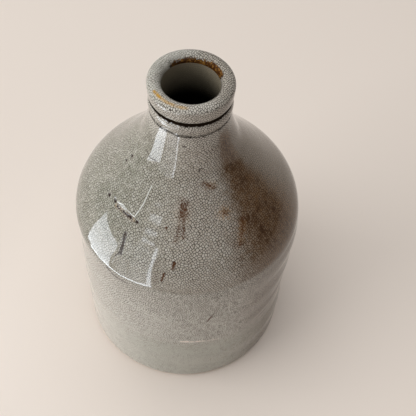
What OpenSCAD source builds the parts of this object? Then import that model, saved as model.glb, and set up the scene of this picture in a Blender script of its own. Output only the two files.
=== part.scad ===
// Stoneware sake bottle: a thrown cylinder, a conical shoulder, a short ringed
// neck with a rolled lip, and a crackled glaze coat outside and inside.
// Millimetres, +Z up, origin on the axis in the plane that the foot stands on.

/* [Body] */
// Overall height, foot to lip
height = 221; // [210:1:240]
// Radius of the glazed body at the shoulder edge
shoulder_r = 68; // [60:0.5:76]
// Height of the shoulder edge
shoulder_z = 122.7; // [112:0.1:130]
// Radius of the glazed body just above the foot
base_r = 69.6; // [60:0.1:77]
// Thickness of the wall, glaze included
wall = 7; // [6:0.5:8]
// Length over which the shoulder edge is rounded
shoulder_round = 2; // [2:0.5:6]
// How far the cone of the shoulder bows outwards
cone_bow = 2.8; // [0:0.2:4]

/* [Neck and lip] */
// Radius of the throat that a stopper fits
bore_r = 15; // [13:0.5:16]
// Outer radius of the neck under its ring
neck_r = 21.1; // [20.5:0.1:22]
// How far the neck's ring stands out from the neck
ring_proud = 0.9; // [0.5:0.1:1.4]
// Height of the neck's ring
ring_h = 8.4; // [7:0.1:10]
// Radius at the bottom of the crease between the ring and the lip
crease_r = 19.9; // [19.5:0.1:20.4]
// Outer radius of the rolled lip
lip_r = 22.3; // [22:0.1:24]
// Height of the rolled lip
lip_h = 9.8; // [9:0.1:11]

/* [Foot and floor] */
// Width of the foot ring's face
foot_w = 8; // [5:0.5:10]
// Height of the foot ring
foot_h = 3; // [2:0.5:5]
// Thickness of the floor, glaze included
floor_t = 8; // [7:0.5:10]

/* [Glaze] */
// Thickness of the glaze coats
glaze_t = 0.6; // [0.4:0.1:0.8]

/* [Hidden] */

clay_colour = [0.72, 0.64, 0.54];
glaze_colour = [0.62, 0.63, 0.58];
liner_colour = [0.44, 0.44, 0.37];

// Heights of the neck's features, counted down from the top of the lip.
lip_z = height - lip_h;
ring_z = lip_z - ring_h;
flare_r = 8.6;
flare_h = 26.4;
cone_top = [neck_r + flare_r, ring_z - flare_h];
floor_z = foot_h + floor_t;

// Points of an arc of an ellipse about centre c, from angle a to angle b.
function oval(c, rx, ry, a, b, n) =
    [for (i = [0 : n]) let (t = a + (b - a) * i / n) c + [rx * cos(t), ry * sin(t)]];

// Points of a cubic curve with control points p, q, r and s, its first left out.
function curve(p, q, r, s, n) =
    [for (i = [1 : n]) let (t = i / n, u = 1 - t)
        u * u * u * p + 3 * u * u * t * q + 3 * u * t * t * r + t * t * t * s];

function unit(v) = v / norm(v);
function reversed(line) = [for (i = [len(line) - 1 : -1 : 0]) line[i]];

// A line of points moved by d to the left of the way it runs, which is into the
// clay on the outside of the bottle as it rises.
function buried(line, d) =
    [for (i = [0 : len(line) - 1])
        let (t = unit(line[min(i + 1, len(line) - 1)] - line[max(i - 1, 0)]))
            line[i] + d * [-t[1], t[0]]];

// Radius of a rising line of points at height z.
function radius_at(line, z) = lookup(z, [for (p = line) [p[1], p[0]]]);

// The stretch of a rising line of points between heights z0 and z1, ends included.
function stretch(line, z0, z1) = concat(
    [[radius_at(line, z0), z0]],
    [for (p = line) if (p[1] > z0 + 0.05 && p[1] < z1 - 0.05) p],
    [[radius_at(line, z1), z1]]);

// Face of the cone, from the shoulder edge at t = 0 to the neck's flare at t = 1.
shoulder = [shoulder_r, shoulder_z];
cone_run = cone_top - shoulder;
cone_out = [cone_run[1], -cone_run[0]] / norm(cone_run);
bow_peak = 27 / 256;
function cone(t) =
    shoulder + t * cone_run + cone_bow * t * pow(1 - t, 3) / bow_peak * cone_out;

// Glazed outside of the body and neck, from the foot's edge to the lip's crease.
foot_edge = 2;
wall_foot = [base_r, foot_h + foot_edge];
wall_top = shoulder + shoulder_round * unit(wall_foot - shoulder);
cone_start = 0.06;
ring_r = neck_r + ring_proud;
body_line = concat(
    oval([base_r - foot_edge, foot_h + foot_edge], foot_edge, foot_edge, -90, 0, 6),
    [wall_top],
    curve(wall_top, (wall_top + 2 * shoulder) / 3, (cone(cone_start) + 2 * shoulder) / 3,
          cone(cone_start), 6),
    [for (i = [1 : 12]) cone(cone_start + (1 - cone_start) * i / 12)],
    curve(cone_top, cone_top + 9 * unit(cone_run), [neck_r + 1.2, ring_z - 8],
          [neck_r, ring_z], 12),
    curve([neck_r, ring_z], [ring_r, ring_z + 0.4], [ring_r, ring_z + ring_h / 3],
          [ring_r, ring_z + ring_h / 2], 6),
    curve([ring_r, ring_z + ring_h / 2], [ring_r, lip_z - 2.2], [crease_r + 0.9, lip_z - 0.6],
          [crease_r, lip_z], 8));

// Glazed outside of the lip, from its crease over the crown and into the throat.
crown_r = (lip_r + bore_r) / 2;
crown_h = 2.7;
throat_h = 4.2;
lip_mid = height - crown_h;
throat_z = height - throat_h;
lip_line = concat(
    curve([crease_r, lip_z], [crease_r + 1.2, lip_z + 0.5], [lip_r - 0.4, lip_z + 0.3],
          [lip_r - 0.2, lip_z + 2.8], 8),
    [[lip_r, lip_mid]],
    oval([crown_r, lip_mid], lip_r - crown_r, crown_h, 11.25, 90, 7),
    oval([crown_r, throat_z], crown_r - bore_r, throat_h, 101.25, 180, 7));

// Glazed inside, from the middle of the floor to the throat, running upwards.
inner_r = shoulder_r - wall;
floor_round = 6;
bore_h = 23.3;
bore_z = throat_z - bore_h;
chamber_line = concat(
    oval([inner_r - floor_round, floor_z + floor_round], floor_round, floor_round, -90, 0, 6),
    [[inner_r, shoulder_z - 12]],
    curve([inner_r, shoulder_z - 12], [inner_r, shoulder_z - 4],
          cone(0.08) - wall * cone_out, cone(0.16) - wall * cone_out, 8),
    [for (i = [1 : 8]) cone(0.16 + 0.84 * i / 8) - wall * cone_out],
    curve(cone_top - wall * cone_out, cone_top - wall * cone_out + 7 * unit(cone_run),
          [bore_r, bore_z - 6], [bore_r, bore_z], 8),
    [[bore_r, throat_z]]);

// The clay under the two coats.
outer_line = concat(body_line, lip_line);
clay_outer = buried(outer_line, glaze_t);
clay_body = [for (i = [0 : len(body_line) - 1]) clay_outer[i]];
clay_lip = [for (i = [len(body_line) : len(outer_line) - 1]) clay_outer[i]];
clay_chamber = buried(chamber_line, -glaze_t);
bored = [bore_r + glaze_t, throat_z];

// Seams between the thrown sections. Each is bevelled, higher inside than outside.
bevel = 2;
base_seam = floor_z + floor_round;
body_seam = shoulder_z - 10;
neck_seam = cone_top[1] + 7;
collar_r = crease_r - glaze_t;

module turned(profile) {
    rotate_extrude($fn = 180) polygon(profile);
}

// Clay between the coats, from the seam at height z0 to the seam at height z1.
module section(z0, z1, bevel1 = bevel) {
    turned(concat(
        stretch(clay_body, z0, z1),
        reversed(stretch(clay_chamber, z0 + bevel, z1 + bevel1))));
}

// Turned ring that the bottle stands on, left bare of glaze.
module foot_ring() {
    edge = 0.8;
    outer_r = base_r - foot_edge;
    color(clay_colour) turned([
        [outer_r - foot_w, 0.5], [outer_r - foot_w + 0.5, 0],
        [outer_r - edge, 0], [outer_r, edge],
        [outer_r, foot_h], [outer_r - foot_w - 1, foot_h]]);
}

// Floor of the bottle, with the start of the wall turned up at its rim.
module base_disc() {
    color(clay_colour) turned(concat(
        [[0, foot_h], [base_r - foot_edge, foot_h]],
        stretch(clay_body, clay_body[0][1], base_seam),
        reversed(stretch(clay_chamber, clay_chamber[0][1], base_seam + bevel)),
        [[0, clay_chamber[0][1]]]));
}

module body_wall() {
    color(clay_colour) section(base_seam, body_seam);
}

module shoulder_cone() {
    color(clay_colour) section(body_seam, neck_seam);
}

// Neck, from the top of the cone to the seat of the lip. Its ring is laid round it.
module neck_collar() {
    color(clay_colour) turned(concat(
        stretch(clay_body, neck_seam, ring_z),
        [[collar_r, ring_z], [collar_r, lip_z]],
        reversed(stretch(clay_chamber, neck_seam + bevel, lip_z))));
}

// Raised ring of clay between the creases of the neck.
module neck_ring() {
    color(clay_colour) turned(concat(
        stretch(clay_body, ring_z, lip_z - 0.3),
        [[collar_r, lip_z - 0.3], [collar_r, ring_z]]));
}

module rolled_lip() {
    color(clay_colour) turned(concat(
        [[bored[0], lip_z], [collar_r, lip_z]], clay_lip, [bored]));
}

// Crackled coat from the foot's edge, over the lip and into the throat.
module outer_glaze() {
    color(glaze_colour) turned(concat(outer_line, [bored], reversed(clay_outer)));
}

// Coat inside, which lines the floor, the wall and the throat.
module liner_glaze() {
    color(liner_colour) turned(concat(
        [[0, clay_chamber[0][1]]], clay_chamber, reversed(chamber_line), [[0, floor_z]]));
}

foot_ring();
base_disc();
body_wall();
shoulder_cone();
neck_collar();
neck_ring();
rolled_lip();
outer_glaze();
liner_glaze();
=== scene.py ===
"""Looks of a stoneware sake bottle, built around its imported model: a crackled glaze coat over
thrown clay, a thin liner inside, a bare foot, a plain floor, soft window light and a camera."""

import math

import bpy
import numpy as np
from bpy.props import FloatProperty, FloatVectorProperty, IntProperty, PointerProperty
from mathutils import Matrix, Vector


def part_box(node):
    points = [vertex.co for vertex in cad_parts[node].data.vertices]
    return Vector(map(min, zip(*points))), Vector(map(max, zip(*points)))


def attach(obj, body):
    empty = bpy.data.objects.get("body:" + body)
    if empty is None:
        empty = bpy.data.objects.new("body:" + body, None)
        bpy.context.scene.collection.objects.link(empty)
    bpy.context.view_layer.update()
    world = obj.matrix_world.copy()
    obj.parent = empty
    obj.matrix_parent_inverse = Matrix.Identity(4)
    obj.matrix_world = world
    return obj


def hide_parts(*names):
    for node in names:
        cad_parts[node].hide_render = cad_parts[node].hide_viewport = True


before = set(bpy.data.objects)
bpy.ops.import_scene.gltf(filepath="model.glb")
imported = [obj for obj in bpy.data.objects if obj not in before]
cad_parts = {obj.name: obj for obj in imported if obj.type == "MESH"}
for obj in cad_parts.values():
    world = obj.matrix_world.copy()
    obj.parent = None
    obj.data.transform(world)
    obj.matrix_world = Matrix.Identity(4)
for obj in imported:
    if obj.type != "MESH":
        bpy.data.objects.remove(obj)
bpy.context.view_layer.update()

bl_info = {
    "name": "Sake bottle",
    "version": (1, 0, 0),
    "blender": (4, 5, 0),
    "location": "View3D > Sidebar > Bottle",
    "description": "Builds a crackle-glazed stoneware sake bottle around its packed model",
    "category": "Add Mesh",
}

MM = 0.001
BODY = "root"


def top_of(node):
    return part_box(node)[1].z


def bottom_of(node):
    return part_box(node)[0].z


def radius_of(node):
    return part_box(node)[1].x


# ---------------------------------------------------------------- sizes and colours


def length(name, description, default):
    return FloatProperty(name=name, description=description, default=default, min=0,
                         subtype="DISTANCE", unit="LENGTH")


def angle(name, description, degrees):
    return FloatProperty(name=name, description=description, default=math.radians(degrees),
                         subtype="ANGLE", unit="ROTATION")


def colour(name, description, default):
    return FloatVectorProperty(name=name, description=description, default=default,
                               size=3, min=0, max=1, subtype="COLOR")


class BottleSizes(bpy.types.PropertyGroup):
    height: length("Height", "Foot to the top of the lip", top_of("outer_glaze"))
    base_r: length("Base radius", "Glazed radius just above the foot", radius_of("outer_glaze"))
    shoulder_r: length("Shoulder radius", "Glazed radius at the shoulder edge", 68 * MM)
    shoulder_z: length("Shoulder height", "Height of the shoulder edge", 122.7 * MM)
    shoulder_round: length("Shoulder round", "Length over which the edge is rounded", 2 * MM)
    cone_bow: length("Cone bow", "How far the conical shoulder bows outwards", 2.8 * MM)
    wall: length("Wall", "Thickness of the wall, glaze included", 7 * MM)
    neck_r: length("Neck radius", "Outer radius of the neck under its ring", 21.1 * MM)
    ring_proud: length("Ring proud", "How far the neck's ring stands out", 0.9 * MM)
    ring_h: length("Ring height", "Height of the neck's ring", 8.4 * MM)
    crease_r: length("Crease radius", "Radius of the crease under the lip", 19.9 * MM)
    lip_r: length("Lip radius", "Outer radius of the rolled lip", 22.3 * MM)
    bore_r: length("Throat radius", "Radius of the throat", 15 * MM)
    foot_h: length("Foot height", "Height of the foot ring", top_of("foot_ring"))
    floor_t: length("Floor", "Thickness of the floor, glaze included", 8 * MM)
    steps: IntProperty(name="Steps", description="Steps of each spin", default=420, min=48)


class GlazeLook(bpy.types.PropertyGroup):
    glaze: colour("Glaze", "Grey glaze between the shoulder's cracks", (0.49, 0.465, 0.405))
    wall: colour("Wall glaze", "Paler glaze low on the wall", (0.62, 0.60, 0.54))
    green: colour("Green glaze", "Thicker, greener glaze", (0.41, 0.415, 0.355))
    sage: colour("Sage glaze", "Darker grey-green glaze at the left", (0.27, 0.26, 0.205))
    # Besides real brown glaze, this colour also paints shade on the right of the wall.
    warm: colour("Warm glaze", "Brown glaze at the right and in blotches", (0.40, 0.335, 0.275))
    light: colour("Light glaze", "Lightest cells of the crackle", (0.62, 0.59, 0.53))
    crack: colour("Crackle", "Lines of the crackle", (0.035, 0.026, 0.018))
    brown: colour("Brown stain", "Stain soaked into the crackle", (0.045, 0.018, 0.005))
    # Painted shade: darkens the right side, away from the window; also tints random dull
    # patches.
    shade: colour("Dull glaze", "Brown-grey glaze round the right side", (0.125, 0.082, 0.045))
    rust: colour("Rust", "Rust spots and the edge of the mouth", (0.075, 0.026, 0.008))
    ochre: colour("Ochre", "Amber tint round pits and on the lip", (0.46, 0.22, 0.045))
    amber: colour("Amber", "Amber stain on the lip", (0.48, 0.25, 0.02))
    mouth: colour("Mouth", "Rust inside the mouth", (0.05, 0.017, 0.004))
    pink: colour("Pink", "Thin glaze over the scar of the wall", (0.86, 0.74, 0.66))
    # Painted highlight: a near-white glint laid along the raised ridges.
    glint: colour("Glint", "Thin glaze along raised edges", (0.80, 0.80, 0.76))
    tan: colour("Stained glaze", "Cells of the crackle inside the stain", (0.165, 0.088, 0.036))
    pit: colour("Pits", "Bottoms of the pits, scars and freckles", (0.03, 0.016, 0.012))
    # Dirt and painted shade: a matt dark layer in the creases of the neck.
    dirt_and_shade: colour("Dirt", "Dirt in the creases of the neck", (0.012, 0.008, 0.005))
    liner: colour("Liner", "Thin glaze in the throat and chamber", (0.37, 0.315, 0.225))
    # Painted shade: the liner is darkened deeper down in the chamber, where little light
    # reaches.
    painted_depth_shade: colour("Deep liner", "Darker glaze down in the chamber", (0.002, 0.002, 0.001))
    clay: colour("Clay", "Bare clay at the foot", (0.62, 0.53, 0.43))
    grit: colour("Grit", "Pale grains of sand in the clay", (0.68, 0.6, 0.48))
    iron: colour("Iron", "Dark specks of iron in the clay", (0.1, 0.06, 0.035))
    cell: length("Cell", "Width of a cell of the crackle", 1.38 * MM)


class StageLook(bpy.types.PropertyGroup):
    floor: colour("Floor", "Plain pale floor", (0.80, 0.70, 0.62))
    room: colour("Room", "Dim light from all round", (0.13, 0.123, 0.118))
    back: length("Camera back", "Camera's distance in front of the axis", 232.3 * MM)
    up: length("Camera height", "Camera's height over the floor", 450 * MM)
    pitch: angle("Pitch", "How far the camera looks down", 55.68)
    pan: angle("Pan", "How far the camera turns to the right", 3.18)
    roll: angle("Roll", "How far the camera tips to its left", 4.33)
    window: angle("Window", "Azimuth of the window that the glaze mirrors", -65)
    lens: FloatProperty(name="Lens", description="Focal length", default=56.84, unit="CAMERA")


# ---------------------------------------------------------------- outlines, as (radius, height)


def unit(v):
    return v / np.linalg.norm(v)


def oval(centre, rx, ry, start, end, count):
    """Points of an arc of an ellipse, from one angle in degrees to another."""
    t = np.radians(np.linspace(start, end, count + 1))
    return np.array(centre) + np.column_stack([rx * np.cos(t), ry * np.sin(t)])


def curve(p, q, r, s, count):
    """Points of a cubic curve, with its first point left out."""
    t = np.linspace(0, 1, count + 1)[1:, None]
    p, q, r, s = map(np.array, (p, q, r, s))
    return (1 - t) ** 3 * p + 3 * (1 - t) ** 2 * t * q + 3 * (1 - t) * t * t * r + t ** 3 * s


def buried(line, depth):
    """A line of points moved by depth to the left of the way it runs."""
    run = np.gradient(line, axis=0)
    run /= np.linalg.norm(run, axis=1)[:, None]
    return line + depth * np.column_stack([-run[:, 1], run[:, 0]])


def spaced(line, spacing):
    """The same line with its points at even distances of about spacing."""
    along = np.concatenate([[0], np.cumsum(np.linalg.norm(np.diff(line, axis=0), axis=1))])
    at = np.linspace(0, along[-1], max(2, round(along[-1] / spacing) + 1))
    return np.column_stack([np.interp(at, along, line[:, 0]), np.interp(at, along, line[:, 1])])


def stretch(line, low, high, spacing):
    """The stretch of a rising line between two heights."""
    r = lambda z: np.interp(z, line[:, 1], line[:, 0])
    inner = line[(line[:, 1] > low) & (line[:, 1] < high)]
    return spaced(np.vstack([[r(low), low], inner, [r(high), high]]), spacing)


class Outlines:
    """Outlines of the bottle's skin and chamber, worked out from its sizes."""

    edge = 2 * MM  # rounding of the wall's foot
    flare_r, flare_h = 8.6 * MM, 26.4 * MM  # from the neck out and down to the cone
    bore_h = 23.3 * MM  # straight part of the throat
    crown_h = 2.7 * MM  # rise of the lip's crown over its widest part
    throat_h = 4.2 * MM  # fall of the crown into the throat
    bend = 6 * MM  # rounding between the floor and the wall inside
    tuck_low, tuck_high = 12 * MM, 4 * MM  # where the chamber turns in, under the edge
    cone_start, cone_under = 0.06, 0.16  # shares of the cone taken by its rounded foot
    rough, medium, smooth, fine = 12, 16, 24, 48  # points in an arc or a curve

    def __init__(self, s):
        self.s = s
        self.glaze_t = top_of("outer_glaze") - top_of("rolled_lip")
        self.lip_z = bottom_of("rolled_lip")
        self.ring_z = self.lip_z - s.ring_h
        self.shoulder = np.array([s.shoulder_r, s.shoulder_z])
        self.cone_top = np.array([s.neck_r + self.flare_r, self.ring_z - self.flare_h])
        run = self.cone_top - self.shoulder
        self.cone_run, self.cone_out = run, unit(np.array([run[1], -run[0]]))
        self.throat_z = s.height - self.throat_h
        self.floor_z = s.foot_h + s.floor_t
        self.body = self.body_line()
        self.lip = self.lip_line()
        self.chamber = self.chamber_line()

    def cone(self, t):
        t = np.atleast_1d(t)[:, None]
        bow = self.s.cone_bow * t * (1 - t) ** 3 * 256 / 27
        return self.shoulder + t * self.cone_run + bow * self.cone_out

    def body_line(self):
        """Glazed outside from the foot's edge up to the lip's crease."""
        s, edge = self.s, self.edge
        wall_foot = np.array([s.base_r, s.foot_h + edge])
        wall_top = self.shoulder + s.shoulder_round * unit(wall_foot - self.shoulder)
        start = self.cone(self.cone_start)[0]
        climb = np.linspace(0, 1, self.fine + 1)[1:]
        ring_r, ring_mid = s.neck_r + s.ring_proud, self.ring_z + s.ring_h / 2
        return np.vstack([
            oval((s.base_r - edge, s.foot_h + edge), edge, edge, -90, 0, self.rough),
            wall_top,
            curve(wall_top, (wall_top + 2 * self.shoulder) / 3,
                  (start + 2 * self.shoulder) / 3, start, self.medium),
            self.cone(self.cone_start + (1 - self.cone_start) * climb),
            curve(self.cone_top, self.cone_top + 9 * MM * unit(self.cone_run),
                  (s.neck_r + 1.2 * MM, self.ring_z - 8 * MM), (s.neck_r, self.ring_z),
                  self.fine),
            curve((s.neck_r, self.ring_z), (ring_r, self.ring_z + 0.4 * MM),
                  (ring_r, self.ring_z + s.ring_h / 3), (ring_r, ring_mid), self.medium),
            curve((ring_r, ring_mid), (ring_r, self.lip_z - 2.2 * MM),
                  (s.crease_r + 0.9 * MM, self.lip_z - 0.6 * MM), (s.crease_r, self.lip_z),
                  self.medium),
        ])

    def lip_line(self):
        """Glazed outside of the lip, over its crown and into the throat."""
        s = self.s
        crown_r, mid = (s.lip_r + s.bore_r) / 2, s.height - self.crown_h
        return np.vstack([
            curve((s.crease_r, self.lip_z), (s.crease_r + 1.2 * MM, self.lip_z + 0.5 * MM),
                  (s.lip_r - 0.4 * MM, self.lip_z + 0.3 * MM),
                  (s.lip_r - 0.2 * MM, self.lip_z + 2.8 * MM), self.smooth),
            (s.lip_r, mid),
            oval((crown_r, mid), s.lip_r - crown_r, self.crown_h, 4, 90, self.smooth),
            oval((crown_r, self.throat_z), crown_r - s.bore_r, self.throat_h, 94, 180,
                 self.smooth),
        ])

    def chamber_line(self):
        """Glazed inside, from the middle of the floor to the throat."""
        s, inner, bend = self.s, self.s.shoulder_r - self.s.wall, self.bend
        under = lambda t: self.cone(t) - s.wall * self.cone_out
        top = under(1)[0]
        tuck = (inner, s.shoulder_z - self.tuck_low)
        bore_z = self.throat_z - self.bore_h
        return np.vstack([
            oval((inner - bend, self.floor_z + bend), bend, bend, -90, 0, self.rough),
            tuck,
            curve(tuck, (inner, s.shoulder_z - self.tuck_high),
                  under(self.cone_under / 2)[0], under(self.cone_under)[0], self.medium),
            under(np.linspace(self.cone_under, 1, self.smooth)[1:]),
            curve(top, top + 7 * MM * unit(self.cone_run), (s.bore_r, bore_z - 6 * MM),
                  (s.bore_r, bore_z), self.medium),
            (s.bore_r, self.throat_z),
        ])


# ---------------------------------------------------------------- how unevenly it was thrown


def around(azimuth, centre, width):
    """1 at an azimuth in degrees, falling smoothly to 0 over width on each side."""
    off = (azimuth - centre + 180) % 360 - 180
    return np.exp(-(off / width) ** 2)


def level(z, centre, width):
    """1 at a height in millimetres, falling smoothly to 0 over width on each side."""
    return np.exp(-((z - centre) / width) ** 2)


FLATS = [  # azimuth, width in degrees, height, reach in mm, how far it stands out in mm
    (86, 30, 104, 20, 1.1), (82, 34, 58, 22, -0.8), (-84, 34, 106, 16, -0.9),
]
STEP_Z = 61  # height in mm of the step round the right of the wall
SKIN_MARKS = [  # azimuth, height, width in degrees, how far it stands out in mm
    (-71, 172, 2.4, -0.5), (-73, 168, 2.4, -0.4), (-63, 151.5, 1.8, -0.6),
    (-56, 152.5, 1.8, -0.6), (-34, 152.3, 1.8, -0.5), (-45, 155, 9, 0.35),
    (-35.5, 162, 1.6, 0.25), (-36.5, 141, 2.0, -0.35),
]


def places(co):
    """Azimuths in degrees, 0 in front and growing to the right, and heights in mm."""
    x, y, z = co.T / MM
    return np.degrees(np.arctan2(x, -y)), z


def rings(z, pitch, phase):
    """A wave up the bottle, as fingers leave it: 1 on its crests and -1 between them."""
    return np.sin(z / pitch * 2 * math.pi + phase)


def unevenness(co):
    """How far each point stands out from a true turning, in metres."""
    azimuth, z = places(co)
    t = np.radians(azimuth)
    on_wall = 1 / (1 + np.exp((z - 118) / 3)) * np.clip((z - 2) / 14, 0, 1)
    on_cone = np.clip((z - 120) / 12, 0, 1) * np.clip((205 - z) / 20, 0, 1)
    tilt = z + 3.5 * np.sin(t - 0.6)
    right = 0.35 + 0.65 * around(azimuth, 70, 55)
    out = 0.34 * on_wall * right * rings(tilt, 27, 0.6)
    out += 0.05 * on_wall * rings(tilt, 9.5, 1.1 * np.sin(2 * t))
    out += 0.12 * on_cone * rings(z, 26, 0.8 * np.sin(t))
    out += 0.015 * on_cone * rings(z, 6.3, 1.5 * np.sin(3 * t + 1))
    for centre, width, height, reach, rise in FLATS:
        out += on_wall * rise * around(azimuth, centre, width) * level(z, height, reach)
    out += 0.18 * np.sin(2 * t + 0.7) * np.clip(z / 60, 0, 1)
    out += 0.5 * around(azimuth, 62, 42) * level(z, STEP_Z, 15) * np.tanh((z - STEP_Z) / 2.5)
    return out * MM


def scars(co):
    """How far the scar low on the wall, the pits and the fine ridges stand out, in metres."""
    azimuth, z = places(co)
    scar = 60.5 - 0.012 * np.clip(azimuth, 0, 40) ** 2
    along = np.clip((azimuth + 3) / 4, 0, 1) * np.clip((24 - azimuth) / 12, 0, 1)
    out = 0.3 * along * level(z, scar, 1.7)
    out -= 0.3 * around(azimuth, 10, 20) * level(z, 50, 8)
    for centre, height, width, rise in SKIN_MARKS:
        out += rise * around(azimuth, centre, width) * level(z, height, 1.4)
    return out * MM


# ---------------------------------------------------------------- modelling


def nothing_selected():
    if bpy.context.object and bpy.context.object.mode != "OBJECT":
        bpy.ops.object.mode_set(mode="OBJECT")
    bpy.ops.object.select_all(action="DESELECT")


MERGE = 0.02 * MM  # points nearer than this become one
STILL_R = 15 * MM  # radius inside which the unevenness fades out towards the axis


def spun(name, outline, steps, closed=True):
    """A piece spun about the axis from an outline of (radius, height) points."""
    nothing_selected()
    bpy.ops.curve.primitive_bezier_curve_add()
    piece = bpy.context.object
    piece.name = name
    splines = piece.data.splines
    splines.clear()
    spline = splines.new("POLY")
    spline.points.add(len(outline) - 1)
    for point, (r, z) in zip(spline.points, outline):
        point.co = (0, -r, z, 1)
    spline.use_cyclic_u = closed
    bpy.ops.object.convert(target="MESH")
    bpy.ops.object.mode_set(mode="EDIT")
    bpy.ops.mesh.select_all(action="SELECT")
    bpy.ops.mesh.spin(steps=steps, angle=math.tau, center=(0, 0, 0), axis=(0, 0, 1))
    bpy.ops.mesh.select_all(action="SELECT")
    bpy.ops.mesh.remove_doubles(threshold=MERGE)
    bpy.ops.mesh.normals_make_consistent(inside=False)
    bpy.ops.object.mode_set(mode="OBJECT")
    piece.data.name = name
    return piece


def points_of(piece):
    co = np.empty(len(piece.data.vertices) * 3)
    piece.data.vertices.foreach_get("co", co)
    return co.reshape(-1, 3)


def move_points(piece, co):
    piece.data.vertices.foreach_set("co", co.ravel())
    piece.data.update()


def thrown(piece, also=None):
    """Moves a piece's points out and in, as far as the bottle was thrown unevenly."""
    co = points_of(piece)
    r = np.hypot(co[:, 0], co[:, 1])
    out = unevenness(co) + (also(co) if also else 0)
    share = np.clip(r / STILL_R, 0, 1)
    co[:, :2] *= (1 + share * out / np.maximum(r, MM))[:, None]
    move_points(piece, co)


def finished(piece, node, material, sharp=40):
    """Smooths, paints and attaches a piece, and hides its CAD node."""
    nothing_selected()
    piece.select_set(True)
    bpy.context.view_layer.objects.active = piece
    bpy.ops.object.shade_smooth_by_angle(angle=math.radians(sharp))
    piece.data.materials.clear()
    piece.data.materials.append(material)
    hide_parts(node)
    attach(piece, BODY)


# ---------------------------------------------------------------- materials


class Value:
    """A node's output on which Python arithmetic works: each operator adds a Math node."""

    def __init__(self, recipe, socket):
        self.recipe, self.socket = recipe, socket

    def __add__(self, other):
        return self.recipe.math("ADD", self, other)

    def __sub__(self, other):
        return self.recipe.math("SUBTRACT", self, other)

    def __rsub__(self, other):
        return self.recipe.math("SUBTRACT", other, self)

    def __mul__(self, other):
        return self.recipe.math("MULTIPLY", self, other)

    def __truediv__(self, other):
        return self.recipe.math("DIVIDE", self, other)

    def __neg__(self):
        return self.recipe.math("MULTIPLY", self, -1)

    def __gt__(self, other):
        return self.recipe.math("GREATER_THAN", self, other)

    __radd__ = __add__
    __rmul__ = __mul__

    def most(self, other):
        return self.recipe.math("MAXIMUM", self, other)

    def least(self, other):
        return self.recipe.math("MINIMUM", self, other)

    def step(self, low, high, to_low=0.0, to_high=1.0):
        """A smooth step from to_low at low to to_high at high, flat outside them."""
        return self.recipe.add(
            "MapRange", {"interpolation_type": "SMOOTHSTEP"},
            {"Value": self, "From Min": low, "From Max": high,
             "To Min": to_low, "To Max": to_high})


class Recipe:
    """A material being mixed: adds nodes and links them."""

    def __init__(self, name):
        self.material = bpy.data.materials.new(name)
        self.material.use_nodes = True
        self.tree = self.material.node_tree
        self.tree.nodes.clear()
        place = self.add("TexCoord", out="Object")
        self.place = self.vector("SCALE", place, scale=1 / MM)

    def add(self, kind, settings=(), sockets=(), out=0):
        """Adds a node of this kind, sets it, fills its sockets, and returns one output."""
        node = self.tree.nodes.new("ShaderNode" + kind)
        for key, value in dict(settings).items():
            setattr(node, key, value)
        for key, value in dict(sockets).items():
            if isinstance(value, Value):
                self.tree.links.new(value.socket, node.inputs[key])
            else:
                node.inputs[key].default_value = value
        return Value(self, node.outputs[out]) if len(node.outputs) else None

    def math(self, operation, *values):
        return self.add("Math", {"operation": operation}, dict(enumerate(values)))

    def vector(self, operation, a, b=(0, 0, 0), scale=None):
        sockets = {0: a, "Scale": scale} if scale is not None else {0: a, 1: b}
        out = "Value" if operation in ("DISTANCE", "DOT_PRODUCT") else 0
        return self.add("VectorMath", {"operation": operation}, sockets, out)

    def split(self, vector):
        return [self.add("SeparateXYZ", sockets={0: vector}, out=i) for i in range(3)]

    def join(self, x, y, z=0.0):
        return self.add("CombineXYZ", sockets={0: x, 1: y, 2: z})

    # A Mix node has sockets for each kind of data, and only their numbers tell them apart.

    def mix(self, factor, a, b):
        """Colour a where factor is 0 and colour b where it is 1."""
        a, b = [v if isinstance(v, Value) else (*v, 1) for v in (a, b)]
        return self.add("Mix", {"data_type": "RGBA"}, {0: factor, 6: a, 7: b}, 2)

    def choose(self, factor, a, b):
        """Vector a where factor is 0 and vector b where it is 1."""
        return self.add("Mix", {"data_type": "VECTOR"}, {0: factor, 4: a, 5: b}, 1)

    def noise(self, vector, size, detail=2.0, rough=0.5, out=0):
        """Soft noise whose lumps are size millimetres across."""
        return self.add("TexNoise", sockets={
            "Vector": vector, "Scale": 1 / size, "Detail": detail, "Roughness": rough}, out=out)

    def cells(self, vector, size, feature, random, out):
        """Cells about size millimetres across, as squares at random 0 and ragged at 1."""
        return self.add("TexVoronoi", {"voronoi_dimensions": "2D", "feature": feature}, {
            "Vector": vector, "Scale": 1 / size, "Randomness": random}, out)

    def finish(self, colour, roughness, height, depth, dirt_and_shade=None, dirt_and_shade_colour=None):
        """Ends the recipe in a Principled shader, with height as a bump of depth metres,
        and lays a matt layer of grime and painted shade over it."""
        bump = self.add("Bump", sockets={"Strength": 1.0, "Distance": depth, "Height": height})
        shader = self.add("BsdfPrincipled", sockets={
            "Base Color": colour, "Roughness": roughness, "Normal": bump})
        if dirt_and_shade:
            matt = self.add("BsdfDiffuse", sockets={"Color": (*dirt_and_shade_colour, 1)})
            shader = self.add("MixShader", sockets={0: dirt_and_shade, 1: shader, 2: matt})
        self.add("OutputMaterial", sockets={"Surface": shader})
        return self.material


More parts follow.
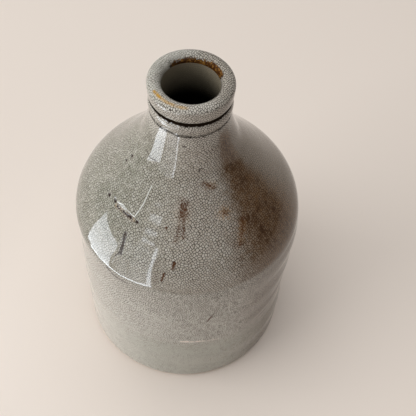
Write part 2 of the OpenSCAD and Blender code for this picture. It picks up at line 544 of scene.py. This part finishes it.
def skin_coordinates(m, lines):
    """Millimetres along and up the skin, in m.place's terms: the wall and the neck are
    unrolled as cylinders, the shoulder as a cone and the lip's crown as a flat ring.
    The edges between them wander with the noise, so that no straight seam shows."""
    finer = 1.15  # how much finer the crackle is on the neck and the crown
    back_turn, crown_x = 9.0, 300  # these keep the patterns of the parts different
    neck_foot, crown_edge = lines.cone_top[1] / MM + 16, lines.s.height / MM - 1.4

    x, y, z = m.split(m.place)
    wander = m.noise(m.place, 9.0, 3.0) - 0.5
    r = m.math("SQRT", x * x + y * y)
    front = m.math("ARCTAN2", x, -y)
    back = m.math("ARCTAN2", -x, y)
    behind = (y + wander * 14) > 0
    turn = front * (1 - behind) + (back + back_turn) * behind

    run = lines.cone_run
    slant = np.linalg.norm(run)
    spread = -run[0] / slant
    apex = (lines.shoulder[1] + lines.shoulder[0] * run[1] / -run[0]) / MM
    reach = (apex - z) * (slant / run[1])
    fan = turn * spread
    cone = m.join(reach * m.math("SINE", fan), reach * m.math("COSINE", fan))
    wall = m.join(turn * (lines.s.shoulder_r / MM), z)
    neck = m.join(turn * (lines.s.neck_r / MM * finer), z * finer)
    crown = m.join(x * finer + crown_x, y * finer)

    on_cone = (z + wander * 3) > lines.s.shoulder_z / MM
    on_neck = (z + wander * 9) > neck_foot
    on_crown = (z + wander * 2) > crown_edge
    skin = m.choose(on_cone, wall, cone)
    skin = m.choose(on_neck, skin, neck)
    return m.choose(on_crown, skin, crown), (front * (180 / math.pi), r, z)


# Marks on the skin. Each row is where it starts and ends as (azimuth in degrees, height
# in mm), with no end for a round one, then its width in mm, how ragged and how soft its
# edge is, and how strong it is.
SOAKED = [
    ((62, 146), (66, 131), 11, 1.5, 0.9, 1), ((47, 150), (50, 136), 8, 1.5, 0.9, 1),
    ((50, 190), (56, 168), 6, 1.5, 0.9, 1),
]
RUST_SPOTS = [  # the cluster with its drips, then stray spots and streaks
    ((-2.8, 167), (-3.2, 161), 6.0, 0, 1.0, 0.7), ((-1.6, 164.2), None, 2.2, 0, 0.9, 1),
    ((-4.6, 166), (-4.9, 162), 1.6, 0, 1.0, 0.8), ((-2.3, 160), (-2.2, 152), 2.6, 0, 1.0, 0.66),
    ((-5.0, 158), (-6.4, 150), 3.2, 0, 1.0, 0.6),
    ((39.5, 154), (36.2, 149.5), 3.0, 0, 1.0, 0.72),
    ((36, 149.5), (31.5, 144), 3.2, 0, 1.0, 0.62), ((-13.7, 155), None, 1.8, 0, 0.9, 0.9),
    ((-6, 141), (-6.6, 138), 1.5, 0, 0.9, 1), ((-10.6, 135), (-11.4, 131), 1.4, 0, 0.9, 0.9),
    ((11.5, 88), (14.4, 95), 1.1, 0, 0.8, 1), ((28.5, 160), None, 4.2, 0, 1.0, 0.72),
    ((31.5, 60), None, 1.1, 0, 0.8, 0.8), ((35, 64), None, 1.2, 0, 0.8, 0.8),
    ((16, 175), (24, 172), 3.6, 0, 1.0, 0.68), ((-16, 139), (-14, 128), 5, 0, 0.95, 0.35),
    ((30, 84), (44, 90), 9, 0, 0.95, 0.3),
]
TINTS = [
    ((28, 160), None, 4.2, 2.2, 0.8, 1), ((19, 174), (24, 173), 2.6, 2.0, 0.9, 0.7),
    ((-53, 152), (-37, 152.6), 2.0, 1.4, 0.9, 0.8), ((38, 152), (33, 146), 3.0, 1.6, 0.9, 0.6),
    ((-3, 161), None, 6.5, 1.6, 0.95, 0.35),
]
PITS = [
    ((-71, 172), None, 1.1, 0.4, 0.5, 1), ((-73, 168), None, 1.0, 0.4, 0.5, 1),
    ((-63, 151.5), None, 1.3, 0.4, 0.5, 1), ((-56, 152.5), None, 1.4, 0.5, 0.5, 1),
    ((-34, 152.3), None, 1.2, 0.5, 0.5, 1), ((-46, 152.6), None, 0.8, 0.8, 0.5, 1),
    ((-41, 152.8), None, 0.9, 0.8, 0.5, 1), ((-26, 219.5), None, 0.55, 0.2, 0.5, 1),
]
CREASE = ((-52, 152.2), (-38, 152.6), 0.9, 2.6, 0.4)  # broken line between the pits
GRAZE = ((-37.5, 145.5), (-35.5, 136.5), 2.3, 0, 1.0)  # grainy dark scar under them
DARK_SCARS = [
    ((-37, 144), (-36.3, 138), 0.9, 0.6, 0.5, 1), ((-36, 137), (-38, 133), 0.5, 0.8, 0.5, 1),
    ((-58, 182), (-48, 180.6), 0.4, 0.8, 0.5, 1),
    ((-48, 180.6), (-40, 181.4), 0.4, 0.8, 0.5, 1),
    ((-41, 121.6), (-37, 119.4), 1.2, 1.6, 0.5, 1), ((-37, 119), (-29, 119), 1.0, 1.8, 0.5, 1),
    ((-9, 196), (-5, 195.6), 0.5, 1.6, 0.5, 1),
    ((11.5, 181.6), (14.5, 182.6), 0.6, 1.6, 0.5, 1),
]
# Raised ridges of the glaze; besides their bump they carry a painted highlight.
RIDGES = [
    ((-54, 153.4), (-49, 154.8), 0.4, 0.9, 0.5, 1),
    ((-49, 154.8), (-37, 153.8), 0.42, 1.1, 0.5, 1),
    ((-34, 170), (-34.6, 161), 0.32, 0.9, 0.5, 1),
    ((-34.6, 161), (-37, 153.8), 0.34, 0.9, 0.5, 1),
    ((-37, 135), (-38.6, 128), 0.25, 1.2, 0.5, 1),
]
WALL_SCAR = [
    ((-1, 60.4), (2, 60.8), 1.4, 1.2, 0.7, 1), ((2, 60.6), (10, 60.2), 0.9, 1.6, 0.7, 1),
    ((10, 60.2), (19, 57.6), 0.7, 2.4, 0.7, 0.45),
]


class Marks:
    """Soft-edged marks on the bottle's skin, placed by azimuth in degrees and height in mm."""

    rising = 32  # points of the lip's outline below its crown

    def __init__(self, m, lines):
        self.m = m
        self.outline = np.vstack([lines.body, lines.lip[:self.rising]]) / MM
        self.grain = (m.noise(m.place, 1.1, 4.0, 0.75) - 0.5) * 2.4
        self.specks = m.noise(m.vector("MULTIPLY", m.place, (1, 1, 0.5)), 0.6, 3.0, 0.7)

    def at(self, azimuth, z):
        """The place on the uneven skin, as a point in millimetres."""
        r = np.interp(z, self.outline[:, 1], self.outline[:, 0])
        t = math.radians(azimuth)
        turn = np.array([math.sin(t), -math.cos(t)])
        co = np.array([[*(turn * r), z]]) * MM
        out = (unevenness(co) + scars(co))[0] / MM
        return np.array([*(turn * (r + out)), z])

    def stroke(self, start, end, width, ragged, soft):
        """1 within width of the line between two places, 0 further off."""
        m = self.m
        p, q = self.at(*start), self.at(*end)
        run = q - p
        scaled = run / (run @ run)
        along = m.vector("DOT_PRODUCT", m.vector("SUBTRACT", m.place, tuple(p)), tuple(scaled))
        along = along.most(0).least(1)
        near = m.vector("ADD", m.vector("SCALE", tuple(run), scale=along), tuple(p))
        off = m.vector("DISTANCE", m.place, near) / width + self.grain * ragged
        return 1 - off.step(1 - soft, 1)

    def blot(self, centre, width, ragged, soft):
        """1 within width of a place, 0 further off."""
        m = self.m
        off = m.vector("DISTANCE", m.place, tuple(self.at(*centre))) / width
        return 1 - (off + self.grain * ragged).step(1 - soft, 1)

    def strongest(self, rows):
        """The strongest, at each point, of the marks that the rows of a table give."""
        most = None
        for start, end, *edge, strength in rows:
            mark = self.stroke(start, end, *edge) if end else self.blot(start, *edge)
            mark = mark * strength
            most = most.most(mark) if most else mark
        return most

    def grainy(self, mark):
        """Breaks a mark up into specks, sparse at its edges."""
        return (mark * 0.42 + self.specks).step(0.68, 0.82)


def band(value, low, high, soft):
    """1 while a value lies between two limits, falling to 0 over soft outside them."""
    return value.step(low - soft, low) * (1 - value.step(high, high + soft))


def crackle(m, skin, cell, width):
    """The lines of a drifting net of cells, and three random numbers for each cell."""
    drift = m.noise(skin, 6.0, 2.0, out="Color")
    drift = m.vector("SCALE", m.vector("SUBTRACT", drift, (0.5, 0.5, 0.5)), scale=2.6)
    woven = m.add("Mapping", sockets={"Vector": m.vector("ADD", skin, drift),
                                      "Rotation": (0, 0, math.radians(38))})
    ragged = 0.7
    edge = m.cells(woven, cell, "DISTANCE_TO_EDGE", ragged, "Distance")
    lights = m.split(m.cells(woven, cell, "F1", ragged, "Color"))
    return 1 - (edge / width).step(0.4, 1.0), lights


def crease_dirt_and_shade(marks, blotch, r, z, crease, ring):
    """Dirt and painted shade in the crease under the lip, and more thinly in the one under the
    ring.
    """
    ragged = marks.grain * 1.6 + (blotch - 0.5) * 2
    dirt_and_shade = band(z + ragged, crease - 1.2, crease + 0.9, 0.7) * (1 - r.step(21.8, 22.0))
    second = band(z + ragged, ring - 0.7, ring + 0.1, 0.6)
    dirt_and_shade = dirt_and_shade.most(second * marks.specks.step(0.4, 0.6, 0.35, 0.9))
    return (dirt_and_shade * 1.2).least(1)


def mouth_rust(marks, blotch, azimuth, r, z, top):
    """Rust round the back of the mouth, from its edge into the throat, heavy at the right."""
    m = marks.m
    turned = azimuth - 360 * (azimuth > 0)
    mouth = m.math("ABSOLUTE", turned + 197) + marks.grain * 14
    heavy = 1 - m.math("ABSOLUTE", azimuth - 112).step(14, 34)
    reach = 0.8 + heavy * 1.9 + (blotch - 0.5) * 3 + marks.grain * 2.2
    rusty = (1 - mouth.step(56, 64)) * band(z, top - 4.6 - heavy * 2.2, top - 1.2, 0.7)
    return rusty * (1 - ((r - 15.2) / reach.most(0.2)).step(0.7, 1.0))


def glaze_material(look, lines):
    """Glossy grey-green glaze: crackle, brown stain, rust, pits, scars and freckles."""
    m = Recipe("crackle_glaze")
    skin, (azimuth, r, z) = skin_coordinates(m, lines)
    marks = Marks(m, lines)
    shoulder, top = lines.s.shoulder_z / MM, lines.s.height / MM
    ring = lines.ring_z / MM

    # Clouds, blotches and dapples that the tones below are broken up by.
    cloud = m.noise(m.place, 16.0, 4.0, 0.6)
    blotch = m.noise(m.place, 5.0, 4.0, 0.65)
    dapple = m.noise(m.place, 2.6, 3.0, 0.7)

    # Crackle: a fine net whose lines are broken and of uneven width.
    on_neck = z.step(190, 200)
    on_cone = z.step(shoulder - 2, shoulder + 2.5)
    width = (0.17 - 0.025 * on_cone + 0.07 * marks.grain + 0.015 * on_neck).most(0.05)
    line, lights = crackle(m, skin, look.cell / MM, width)

    # Brown stain down the right of the shoulder, crisp at the shoulder edge.
    turn = azimuth * (math.pi / 180)
    streak = m.join(m.math("SINE", turn) * 46, m.math("COSINE", turn) * 46, z * 0.14)
    streak = m.noise(streak, 1.0, 3.0, 0.6)
    half, middle = z.step(130, 196, 35, 13.5), z.step(130, 196, 57, 51)
    off = m.math("ABSOLUTE", azimuth - middle + (blotch - 0.5) * 18) / half
    stain = (1 - off.step(0.3, 1.15)) * z.step(shoulder - 1, shoulder + 3)
    stain = stain * (1 - z.step(194, ring)) * streak.step(0.22, 0.6, 0.85, 1.0)
    deep = marks.strongest(SOAKED) * streak.step(0.3, 0.6)
    fleck = marks.blot((88, 160), 9, 1.5, 0.9) * blotch.step(0.55, 0.7)

    def towards(centre, none, full):
        """1 within full degrees of an azimuth, falling to 0 at none degrees from it."""
        off = m.math("COSINE", turn - math.radians(centre))
        return off.step(math.cos(math.radians(none)), math.cos(math.radians(full)))

    # How much dirt each part of the crackle has taken up.
    near = z.step(shoulder - 38, shoulder)
    right = towards(62, 124, 22)
    low = z.step(46, 66)
    taken = on_cone * (0.86 + 0.2 * right) + (1 - on_cone) * (0.4 + 0.25 * near + 0.35 * low)
    taken = taken * cloud.step(0.3, 0.65, 0.8, 1.1) * (0.8 + 0.35 * lights[1])
    taken = taken * dapple.step(0.3, 0.6, 0.75, 1.1)
    taken = (taken * 1.08 + stain * 0.35).least(1)

    # Glaze between the cracks, with painted shade down the right side.
    pale = m.mix((near * 0.35).most(on_cone), look.wall, look.glaze)
    left = (1 - right) * on_cone * (1 - on_neck)
    green = band(z, 8, 52, 10) * towards(60, 120, 70) * 0.6 + left * 0.5
    base = m.mix(green, pale, look.green)
    base = m.mix(left * 0.85, base, look.sage)
    base = m.mix(dapple.step(0.45, 0.75) * (0.16 + 0.14 * right), base, look.shade)
    base = m.mix(right * on_cone * 0.65, base, look.warm)
    base = m.mix(blotch.step(0.5, 0.8) * 0.3 * on_cone, base, look.warm)
    base = m.mix((lights[0] - 0.2).most(0) * 0.5 * (on_cone * 0.8 + 0.2), base, look.light)
    # Painted shade with a brown tint on the right of the wall, away from the window.
    base = m.mix(band(z, 62, shoulder - 3, 8) * towards(95, 72, 38) * 0.8, base, look.warm)
    base = m.mix(on_neck * (0.16 + 0.36 * right), base, look.light)
    # Painted shade down the right side, away from the window, weaker on the neck.
    base = m.mix(towards(104, 82, 46) * (0.72 - 0.35 * on_neck), base, look.shade)
    mottle = (1 - on_cone) * towards(90, 125, 50) * z.step(40, 75) * streak.step(0.38, 0.68)
    base = m.mix(mottle * dapple.step(0.35, 0.6) * 0.5, base, look.brown)
    base = m.mix(stain * dapple.step(0.3, 0.7, 0.6, 1.0), base, look.tan)
    base = m.mix(line * taken, base, look.crack)
    soaked = stain * (0.9 * line + 0.75 * blotch.step(0.45, 0.7) * dapple.step(0.4, 0.6))
    soaked = soaked + deep * stain * 0.85 * dapple.step(0.3, 0.6)
    base = m.mix(soaked.most(fleck * 0.5).least(1), base, look.brown)

    # Rust spots in an amber tint.
    spots = marks.strongest(RUST_SPOTS)
    cluster = (marks.grainy(spots) * blotch.step(0.3, 0.5, 0.6, 1.0)).most(spots * 0.3)
    base = m.mix(marks.strongest(TINTS) * 0.3, base, look.ochre)
    base = m.mix(cluster * 0.95, base, look.rust)

    # Pits, dark scars, thin ridges with a painted highlight, and the scar low on the wall.
    pits = marks.strongest(PITS).most(marks.stroke(*CREASE) * blotch.step(0.42, 0.5))
    dark = marks.strongest(DARK_SCARS).most(marks.grainy(marks.stroke(*GRAZE)))
    ridge = marks.strongest(RIDGES)
    # Painted highlight along the ridges.
    base = m.mix(ridge * 0.8, base, look.glint)
    base = m.mix(marks.strongest(WALL_SCAR) * 0.95, base, look.pink)
    base = m.mix(pits.most(dark * 0.85), base, look.pit)

    # Rust inside the mouth, and amber on the lip.
    rusty = mouth_rust(marks, blotch, azimuth, r, z, top)
    base = m.mix((rusty * 1.6).least(1), base, look.mouth)
    base = m.mix(rusty * marks.grain.step(0.0, 0.3) * 0.6, base, look.ochre)
    amber = band(azimuth, -62, -50, 4) + band(azimuth, -50, -12, 14) * 0.6
    amber = amber.least(1) * band(r, 19.6, 19.9, 1.2) * (z > top - 2) * blotch.step(0.3, 0.55)
    base = m.mix(amber * (1 - 0.3 * line), base, look.amber)

    # Freckles, and the surface's relief in millimetres.
    apart = 5.0
    dots = m.cells(skin, apart, "F1", 1.0, "Distance")
    chosen = m.split(m.cells(skin, apart, "F1", 1.0, "Color"))
    freckle = (1 - dots.step(0.03, 0.075)) * (chosen[0] > 0.55)
    base = m.mix(freckle * 0.6, base, look.pit)
    height = m.noise(m.place, 13.0, 1.0) * 0.14 - line * 0.001 * on_cone
    height = height + ridge * 0.16 - pits * 0.35 - dark * 0.1 + rusty * 0.15 - freckle * 0.04
    rough = 0.03 + cluster * 0.08 + rusty * 0.1
    # Dirt and painted shade in the creases of the neck, laid on as a matt layer.
    dirt_and_shade = crease_dirt_and_shade(marks, blotch, r, z, lines.lip_z / MM, ring)
    return m.finish(base, rough, height, MM, dirt_and_shade, look.dirt_and_shade)


def liner_material(look, lines):
    """Thin olive-grey glaze, with a faint crackle, darkened deeper in the chamber by painted
    shade.
    """
    m = Recipe("liner_glaze")
    skin, (_, _, z) = skin_coordinates(m, lines)
    edge = m.cells(skin, look.cell / MM, "DISTANCE_TO_EDGE", 0.8, "Distance")
    line = 1 - edge.step(0.03, 0.12)
    cloud = m.noise(m.place, 8.0, 4.0)
    base = m.mix(cloud, look.liner, [c * 0.7 for c in look.liner])
    base = m.mix(line * 0.5, base, look.crack)
    # Painted shade, darker deeper down in the chamber.
    base = m.mix(z.step(218, 194), base, look.painted_depth_shade)
    height = cloud * 0.3 - line * 0.02
    return m.finish(base, 0.25, height, MM)


def clay_material(look):
    """Bare fired clay: matt and sandy, with dark specks of iron."""
    m = Recipe("fired_clay")
    grit = m.noise(m.place, 0.5, 4.0, 0.7)
    cloud = m.noise(m.place, 9.0, 4.0)
    iron = m.noise(m.place, 1.6, 2.0).step(0.66, 0.72)
    base = m.mix(cloud, look.clay, [c * 0.72 for c in look.clay])
    base = m.mix(grit.step(0.55, 0.8) * 0.4, base, look.grit)
    base = m.mix(iron * 0.8, base, look.iron)
    return m.finish(base, 0.85, grit * 0.15, MM)


def floor_material(look):
    """Plain pale floor, a little cloudy."""
    m = Recipe("pale_floor")
    cloud = m.noise(m.place, 300.0, 2.0)
    base = m.mix(cloud * 0.15, look.floor, [c * 0.94 for c in look.floor])
    return m.finish(base, 0.8, cloud, 0.02 * MM)


# ---------------------------------------------------------------- operators


class BOTTLE_OT_glaze(bpy.types.Operator):
    """Spin the outer glaze coat, from the foot's edge over the lip and into the throat"""

    bl_idname = "bottle.glaze"
    bl_label = "Outer glaze"

    def execute(self, context):
        scene = context.scene
        lines = Outlines(scene.bottle_sizes)
        scar_low, scar_high = 52 * MM, 68 * MM
        edge_z, neck_z = lines.s.shoulder_z - 4 * MM, lines.ring_z - 4 * MM
        coarse, on_scar, on_cone, on_neck = 2.5 * MM, 0.9 * MM, 1.0 * MM, 0.7 * MM
        low, runs = lines.body[0][1], []
        for high, spacing in ((scar_low, coarse), (scar_high, on_scar), (edge_z, coarse),
                              (neck_z, on_cone)):
            runs.append(stretch(lines.body, low, high, spacing)[:-1])
            low = high
        neck = np.vstack([stretch(lines.body, neck_z, lines.lip_z, 0.3 * MM), lines.lip])
        skin = np.vstack([*runs, spaced(neck, on_neck)])
        hidden = 12 * MM
        under = spaced(buried(np.vstack([lines.body, lines.lip]), lines.glaze_t), hidden)
        coat = spun("glaze_coat", np.vstack([skin, under[::-1]]), lines.s.steps)
        thrown(coat, scars)
        material = glaze_material(scene.glaze_look, lines)
        finished(coat, "outer_glaze", material)
        return {"FINISHED"}


class BOTTLE_OT_liner(bpy.types.Operator):
    """Spin the thin coat that lines the chamber and the throat"""

    bl_idname = "bottle.liner"
    bl_label = "Liner glaze"

    def execute(self, context):
        scene = context.scene
        lines = Outlines(scene.bottle_sizes)
        chamber, throat, hidden, steps = 4 * MM, 1.2 * MM, 8 * MM, 240
        inside = np.vstack([[0, lines.floor_z], spaced(lines.chamber[:-1], chamber),
                            spaced(lines.chamber[-2:], throat)[1:]])
        under = spaced(buried(lines.chamber, -lines.glaze_t), hidden)
        under = np.vstack([under[::-1], [0, lines.floor_z - lines.glaze_t]])
        liner = spun("liner_coat", np.vstack([inside, under]), steps, closed=False)
        thrown(liner)
        finished(liner, "liner_glaze", liner_material(scene.glaze_look, lines))
        return {"FINISHED"}


class BOTTLE_OT_clay(bpy.types.Operator):
    """Spin the thrown sections of clay that stand between the two coats"""

    bl_idname = "bottle.clay"
    bl_label = "Clay sections"

    def execute(self, context):
        scene = context.scene
        lines = Outlines(scene.bottle_sizes)
        s, t = lines.s, lines.glaze_t
        outer = buried(lines.body, t)
        inner = buried(lines.chamber, -t)
        material = clay_material(scene.glaze_look)
        bevel, gap, steps = 2 * MM, 2.5 * MM, 180
        base_seam = bottom_of("body_wall")
        body_seam = bottom_of("shoulder_cone")
        neck_seam = bottom_of("neck_collar")
        collar_r = s.crease_r - t

        def section(low, high):
            return np.vstack([stretch(outer, low, high, gap),
                              stretch(inner, low + bevel, high + bevel, gap)[::-1]])

        foot_r = s.base_r - lines.edge
        under_ring, fade_w, ripple_w, ripple_h = 10 * MM, 8 * MM, 5.5 * MM, 0.45 * MM
        rim_r = np.linspace(1 * MM, foot_r, 90)
        fade = np.clip((foot_r - under_ring - rim_r) / fade_w, 0, 1)
        ripple = ripple_h * fade * (0.5 - 0.5 * np.cos(rim_r / ripple_w * 2 * math.pi))
        base = np.vstack([[0, s.foot_h], np.column_stack([rim_r, s.foot_h + ripple]),
                          stretch(outer, outer[0][1], base_seam, gap),
                          stretch(inner, inner[0][1], base_seam + bevel, gap)[::-1],
                          [0, inner[0][1]]])
        neck = np.vstack([stretch(outer, neck_seam, lines.ring_z, gap),
                          [collar_r, lines.ring_z], [collar_r, lines.lip_z],
                          stretch(inner, neck_seam + bevel, lines.lip_z, gap)[::-1]])
        ring_top = lines.lip_z - 0.3 * MM
        ring = np.vstack([stretch(outer, lines.ring_z, ring_top, 0.6 * MM),
                          [collar_r, ring_top], [collar_r, lines.ring_z]])
        lip = buried(np.vstack([lines.body, lines.lip]), t)[len(lines.body):]
        lip = np.vstack([[s.bore_r + t, lines.lip_z], [collar_r, lines.lip_z], lip])
        pieces = {
            "base_disc": ("clay_base", base, False),
            "body_wall": ("clay_wall", section(base_seam, body_seam), True),
            "shoulder_cone": ("clay_shoulder", section(body_seam, neck_seam), True),
            "neck_collar": ("clay_neck", neck, True),
            "neck_ring": ("clay_neck_ring", ring, True),
            "rolled_lip": ("clay_lip", lip, True),
        }
        for node, (name, outline, closed) in pieces.items():
            piece = spun(name, outline, steps, closed)
            thrown(piece)
            finished(piece, node, material)
        return {"FINISHED"}


class BOTTLE_OT_foot(bpy.types.Operator):
    """Spin the turned foot ring, bare of glaze"""

    bl_idname = "bottle.foot"
    bl_label = "Foot ring"

    def execute(self, context):
        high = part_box("foot_ring")[1]
        outer, top = high.x, high.z
        inner, edge, bevel, lean, steps = outer - 8 * MM, 0.8 * MM, 0.5 * MM, 1 * MM, 240
        outline = np.array([
            (inner, bevel), (inner + bevel, 0), (outer - edge, 0),
            (outer - 0.25 * MM, 0.3 * MM), (outer, edge), (outer, top), (inner - lean, top)])
        foot = spun("foot", outline, steps)
        finished(foot, "foot_ring", clay_material(context.scene.glaze_look), 60)
        return {"FINISHED"}


class BOTTLE_OT_stage(bpy.types.Operator):
    """Lay the floor, light it softly from a window at the left, and set the camera"""

    bl_idname = "bottle.stage"
    bl_label = "Floor, light and camera"

    def execute(self, context):
        scene = context.scene
        look = scene.stage_look
        nothing_selected()
        bpy.ops.mesh.primitive_circle_add(vertices=96, radius=3, fill_type="NGON")
        floor = context.object
        floor.name = "floor"
        floor.data.materials.append(floor_material(look))

        world = bpy.data.worlds.new("room")
        world.use_nodes = True
        sky = world.node_tree.nodes["Background"]
        sky.inputs["Color"].default_value = (*look.room, 1)
        sky.inputs["Strength"].default_value = 1.0
        scene.world = world
        scene.view_settings.view_transform = "Standard"

        lamps = [  # name, place, height that it faces on the axis, width, height, strength
            ("window", (-2.4, -0.6, 0.9), 0.08, 2.4, 1.6, 3.95),
            ("ceiling", (-0.3, 0.1, 2.2), 0.1, 2.8, 2.8, 2.05),
        ]
        for name, place, aim_z, width, height, strength in lamps:
            aim = Vector((0, 0, aim_z))
            self.lamp(name, Vector(place), aim, width, height, strength, "soft")

        # The window as the glaze mirrors it: panes with a post between them.
        facing, distance = look.window, 0.2
        out = Vector((math.sin(facing), -math.cos(facing), 0))
        side = Vector((math.cos(facing), math.sin(facing), 0))
        panes = [  # name, its span sideways and upwards in mm, lean in degrees, strength
            ("pane_left", -62, 26, 18, 158, -8, 5.2),
            ("pane_post", 42, 80, 18, 190, 0, 1.0),
            ("pane_right", 84, 148, 18, 206, 0, 1.3),
            ("pane_inner", 104, 118, 18, 130, 0, 2.6),
            ("pane_edge", 150, 164, 4, 222, 0, 6.5),
            ("pane_top", 88, 146, 212, 219, 17, 3.6),
            ("pane_sill", -62, 166, 2, 14, 0, 9.0),
        ]
        for name, left, right, low, high, lean, strength in panes:
            middle = out * distance + side * ((left + right) / 2 * MM)
            middle.z = (low + high) / 2 * MM
            self.lamp(name, middle, middle - out, (right - left) * MM, (high - low) * MM,
                      strength, "mirrored", lean)

        bpy.ops.object.camera_add()
        camera = context.object
        camera.name = "camera"
        turn = (Matrix.Rotation(-look.pan, 4, "Z")
                @ Matrix.Rotation(math.pi / 2 - look.pitch, 4, "X")
                @ Matrix.Rotation(look.roll, 4, "Z"))
        camera.matrix_world = Matrix.Translation((0, -look.back, look.up)) @ turn
        camera.data.lens = look.lens
        scene.camera = camera
        return {"FINISHED"}

    @staticmethod
    def lamp(name, place, aim, width, height, strength, kind, lean=0):
        """A bright pane at place that faces aim: either soft light or only mirrored."""
        bpy.ops.object.light_add(type="AREA", location=place)
        pane = bpy.context.object
        pane.name = name
        pane.rotation_euler = (place - aim).to_track_quat("Z", "Y").to_euler()
        pane.rotation_euler.rotate_axis("Z", math.radians(lean))
        pane.data.shape = "RECTANGLE"
        pane.data.size, pane.data.size_y = width, height
        pane.data.energy = strength * width * height * math.pi
        pane.data.color = (0.95, 0.98, 1.0) if kind == "soft" else (0.86, 0.93, 1.0)
        pane.visible_camera = False
        pane.visible_diffuse = kind == "soft"
        pane.visible_glossy = kind == "mirrored"


class BOTTLE_PT_panel(bpy.types.Panel):
    bl_label = "Sake bottle"
    bl_idname = "BOTTLE_PT_panel"
    bl_space_type = "VIEW_3D"
    bl_region_type = "UI"
    bl_category = "Bottle"

    def draw(self, context):
        layout = self.layout
        for group in (context.scene.bottle_sizes, context.scene.glaze_look,
                      context.scene.stage_look):
            column = layout.column(align=True)
            for key in group.__annotations__:
                column.prop(group, key)
        for operator in OPERATORS:
            layout.operator(operator.bl_idname)


OPERATORS = (BOTTLE_OT_foot, BOTTLE_OT_clay, BOTTLE_OT_liner, BOTTLE_OT_glaze, BOTTLE_OT_stage)
GROUPS = {"bottle_sizes": BottleSizes, "glaze_look": GlazeLook, "stage_look": StageLook}


def register():
    for cls in (*GROUPS.values(), *OPERATORS, BOTTLE_PT_panel):
        bpy.utils.register_class(cls)
    for name, group in GROUPS.items():
        setattr(bpy.types.Scene, name, PointerProperty(type=group))


def unregister():
    for name in GROUPS:
        delattr(bpy.types.Scene, name)
    for cls in reversed((*GROUPS.values(), *OPERATORS, BOTTLE_PT_panel)):
        bpy.utils.unregister_class(cls)


def main():
    register()
    for operator in OPERATORS:
        group, name = operator.bl_idname.split(".")
        getattr(getattr(bpy.ops, group), name)()
    nothing_selected()


if __name__ == "__main__":
    main()
